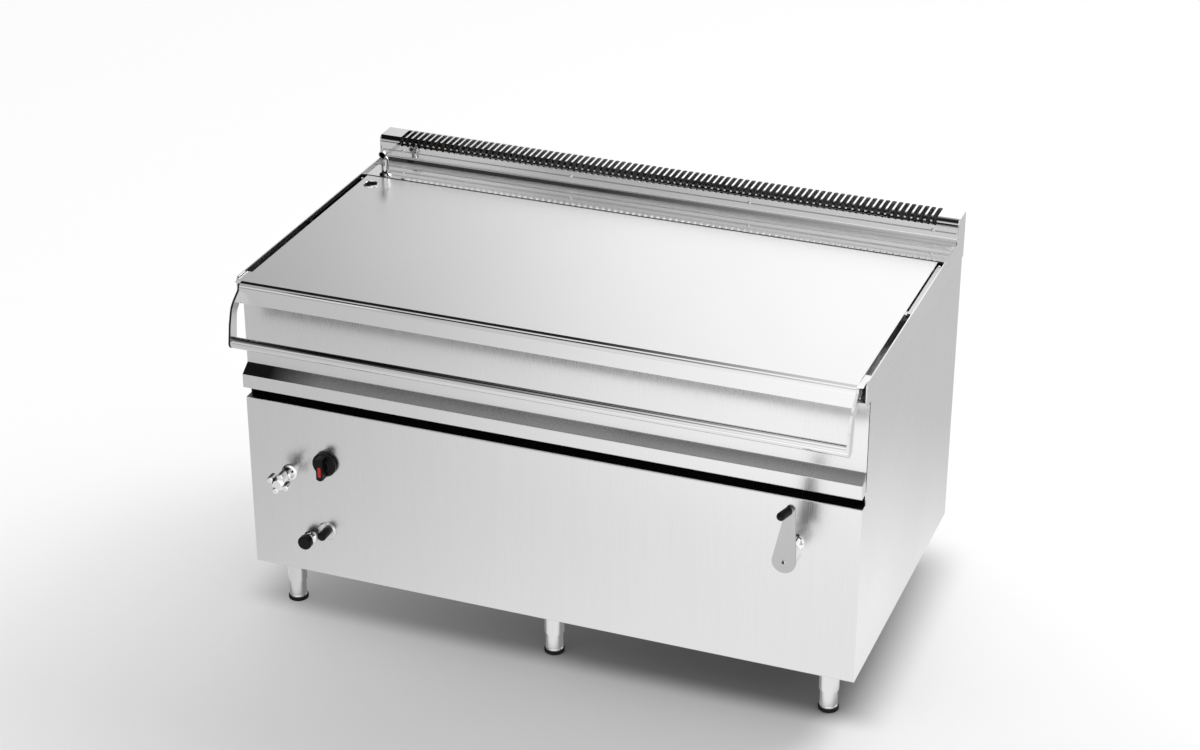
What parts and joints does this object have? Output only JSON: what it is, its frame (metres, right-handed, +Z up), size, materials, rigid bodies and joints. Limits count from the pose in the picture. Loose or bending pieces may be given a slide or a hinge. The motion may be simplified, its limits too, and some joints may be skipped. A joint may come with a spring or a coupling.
{
  "type": "tilting bratt pan",
  "caption": "Gas-heated tilting braising pan with lid, riser grille, water spout and hand-crank tilt drive, for a catering kitchen.",
  "frame": {"origin": "centre of the bounding box on the floor", "axes": "+X to the right as seen from the front, along the width; +Y from the front panel to the rear; +Z up"},
  "size_m": [1.6, 1.0459, 1.01],
  "materials": {
    "panel_steel": "vertically brushed",
    "rail_steel": "brushed along the width",
    "lid_steel": "brushed along the width",
    "tub_steel": "mill finish",
    "handle_steel": "satin",
    "leg_steel": "satin tube",
    "bright_steel": "polished",
    "chrome": "polished plating",
    "frame_paint": "satin paint",
    "gearbox_iron": "hammered paint",
    "black_iron": "dull",
    "burner_iron": "heat-dulled",
    "gear_iron": "machined teeth, oiled",
    "brass": "plain",
    "copper": "plain copper tube",
    "black_plastic": "satin",
    "black_rubber": "matt"
  },
  "bodies": {
    "cabinet": {"side_panel_left": "panel_steel", "side_panel_right": "panel_steel", "front_panel": "panel_steel", "rear_panel": "panel_steel", "base_frame": "frame_paint", "frame_posts": "frame_paint", "side_rail_left": "rail_steel", "side_rail_right": "rail_steel", "riser_face": "rail_steel", "riser_back_sheet": "panel_steel", "flue_grille": "rail_steel", "riser_screws": "bright_steel", "flue_duct": "panel_steel", "leg_tubes": "leg_steel", "leg_feet": "leg_steel", "foot_pads": "black_rubber", "pivot_blocks": "black_iron", "pivot_bushes": "brass", "rest_posts": "frame_paint", "rest_pads": "black_rubber", "gearbox": "gearbox_iron", "gearbox_stand": "frame_paint", "crank_bush": "chrome", "heat_shield": "panel_steel", "burners": "burner_iron", "gas_manifold": "brass", "gas_valve": "brass", "gas_pipe": "brass", "tap_bonnet": "chrome", "water_pipe": "copper", "spout_collar": "chrome", "igniter_body": "chrome", "pilot_switch": "chrome"},
    "pan": {"pan_front_panel": "panel_steel", "pan_tub": "tub_steel", "pouring_lip": "tub_steel", "base_plate": "black_iron", "pan_cradle": "tub_steel", "pivot_pins": "bright_steel", "tilt_sector": "gear_iron", "hinge_brackets": "tub_steel", "hinge_pins": "bright_steel"},
    "lid": {"lid": "lid_steel", "lid_ribs": "lid_steel", "lid_buffers": "black_rubber", "lid_arms": "rail_steel", "fill_ring": "bright_steel", "handle_arm_left": "handle_steel", "handle_arm_right": "handle_steel", "handle_bar": "bright_steel"},
    "crank": {"crank_shaft": "bright_steel", "crank_arm": "handle_steel", "crank_screw": "bright_steel"},
    "crank_grip": {"crank_grip": "black_plastic"},
    "pinion": {"pinion": "gear_iron"},
    "gas_knob": {"gas_knob": "black_plastic"},
    "tap_handle": {"tap_handle": "chrome"},
    "spout": {"spout": "chrome"},
    "igniter_button": {"igniter_button": "black_plastic"},
    "pilot_push": {"pilot_push": "black_plastic"}
  },
  "joints": [
    {"name": "pan_tilt", "type": "hinge", "parent": "cabinet", "child": "pan", "pos_m": [0, -0.36902, 0.648], "axis": [1, 0, 0], "range_deg": [0, 70]},
    {"name": "lid_hinge", "type": "hinge", "parent": "pan", "child": "lid", "pos_m": [0, 0.29897, 0.922], "axis": [-1, 0, 0], "range_deg": [0, 80]},
    {"name": "crank_turn", "type": "hinge", "parent": "cabinet", "child": "crank", "pos_m": [0.643, -0.37702, 0.489], "axis": [0, 1, 0], "range_deg": [0, 1680]},
    {"name": "grip_turn", "type": "hinge", "parent": "crank", "child": "crank_grip", "pos_m": [0.65555, -0.47402, 0.63245], "axis": [-0.2756, -0.9613, 0], "continuous": true},
    {"name": "pinion_turn", "type": "hinge", "parent": "cabinet", "child": "pinion", "pos_m": [0.706, -0.03728, 0.60138], "axis": [1, 0, 0], "range_deg": [-610, 0]},
    {"name": "gas_knob_turn", "type": "hinge", "parent": "cabinet", "child": "gas_knob", "pos_m": [-0.587, -0.37702, 0.459], "axis": [0, -1, 0], "range_deg": [0, 270]},
    {"name": "tap_turn", "type": "hinge", "parent": "cabinet", "child": "tap_handle", "pos_m": [-0.69, -0.37702, 0.414], "axis": [0, -1, 0], "range_deg": [0, 540]},
    {"name": "spout_swing", "type": "hinge", "parent": "cabinet", "child": "spout", "pos_m": [-0.741, 0.34797, 0.936], "axis": [0, 0, 1], "range_deg": [-60, 60]},
    {"name": "igniter_press", "type": "slide", "parent": "cabinet", "child": "igniter_button", "axis": [0, 1, 0], "range_m": [0, 0.006], "stiffness_N_per_m": 500},
    {"name": "pilot_press", "type": "slide", "parent": "cabinet", "child": "pilot_push", "axis": [0, 1, 0], "range_m": [0, 0.006], "stiffness_N_per_m": 500}
  ],
  "couplings": [
    {"joint": "crank_turn", "follows": "pan_tilt", "ratio": 24},
    {"joint": "pinion_turn", "follows": "pan_tilt", "ratio": -8.5714}
  ]
}
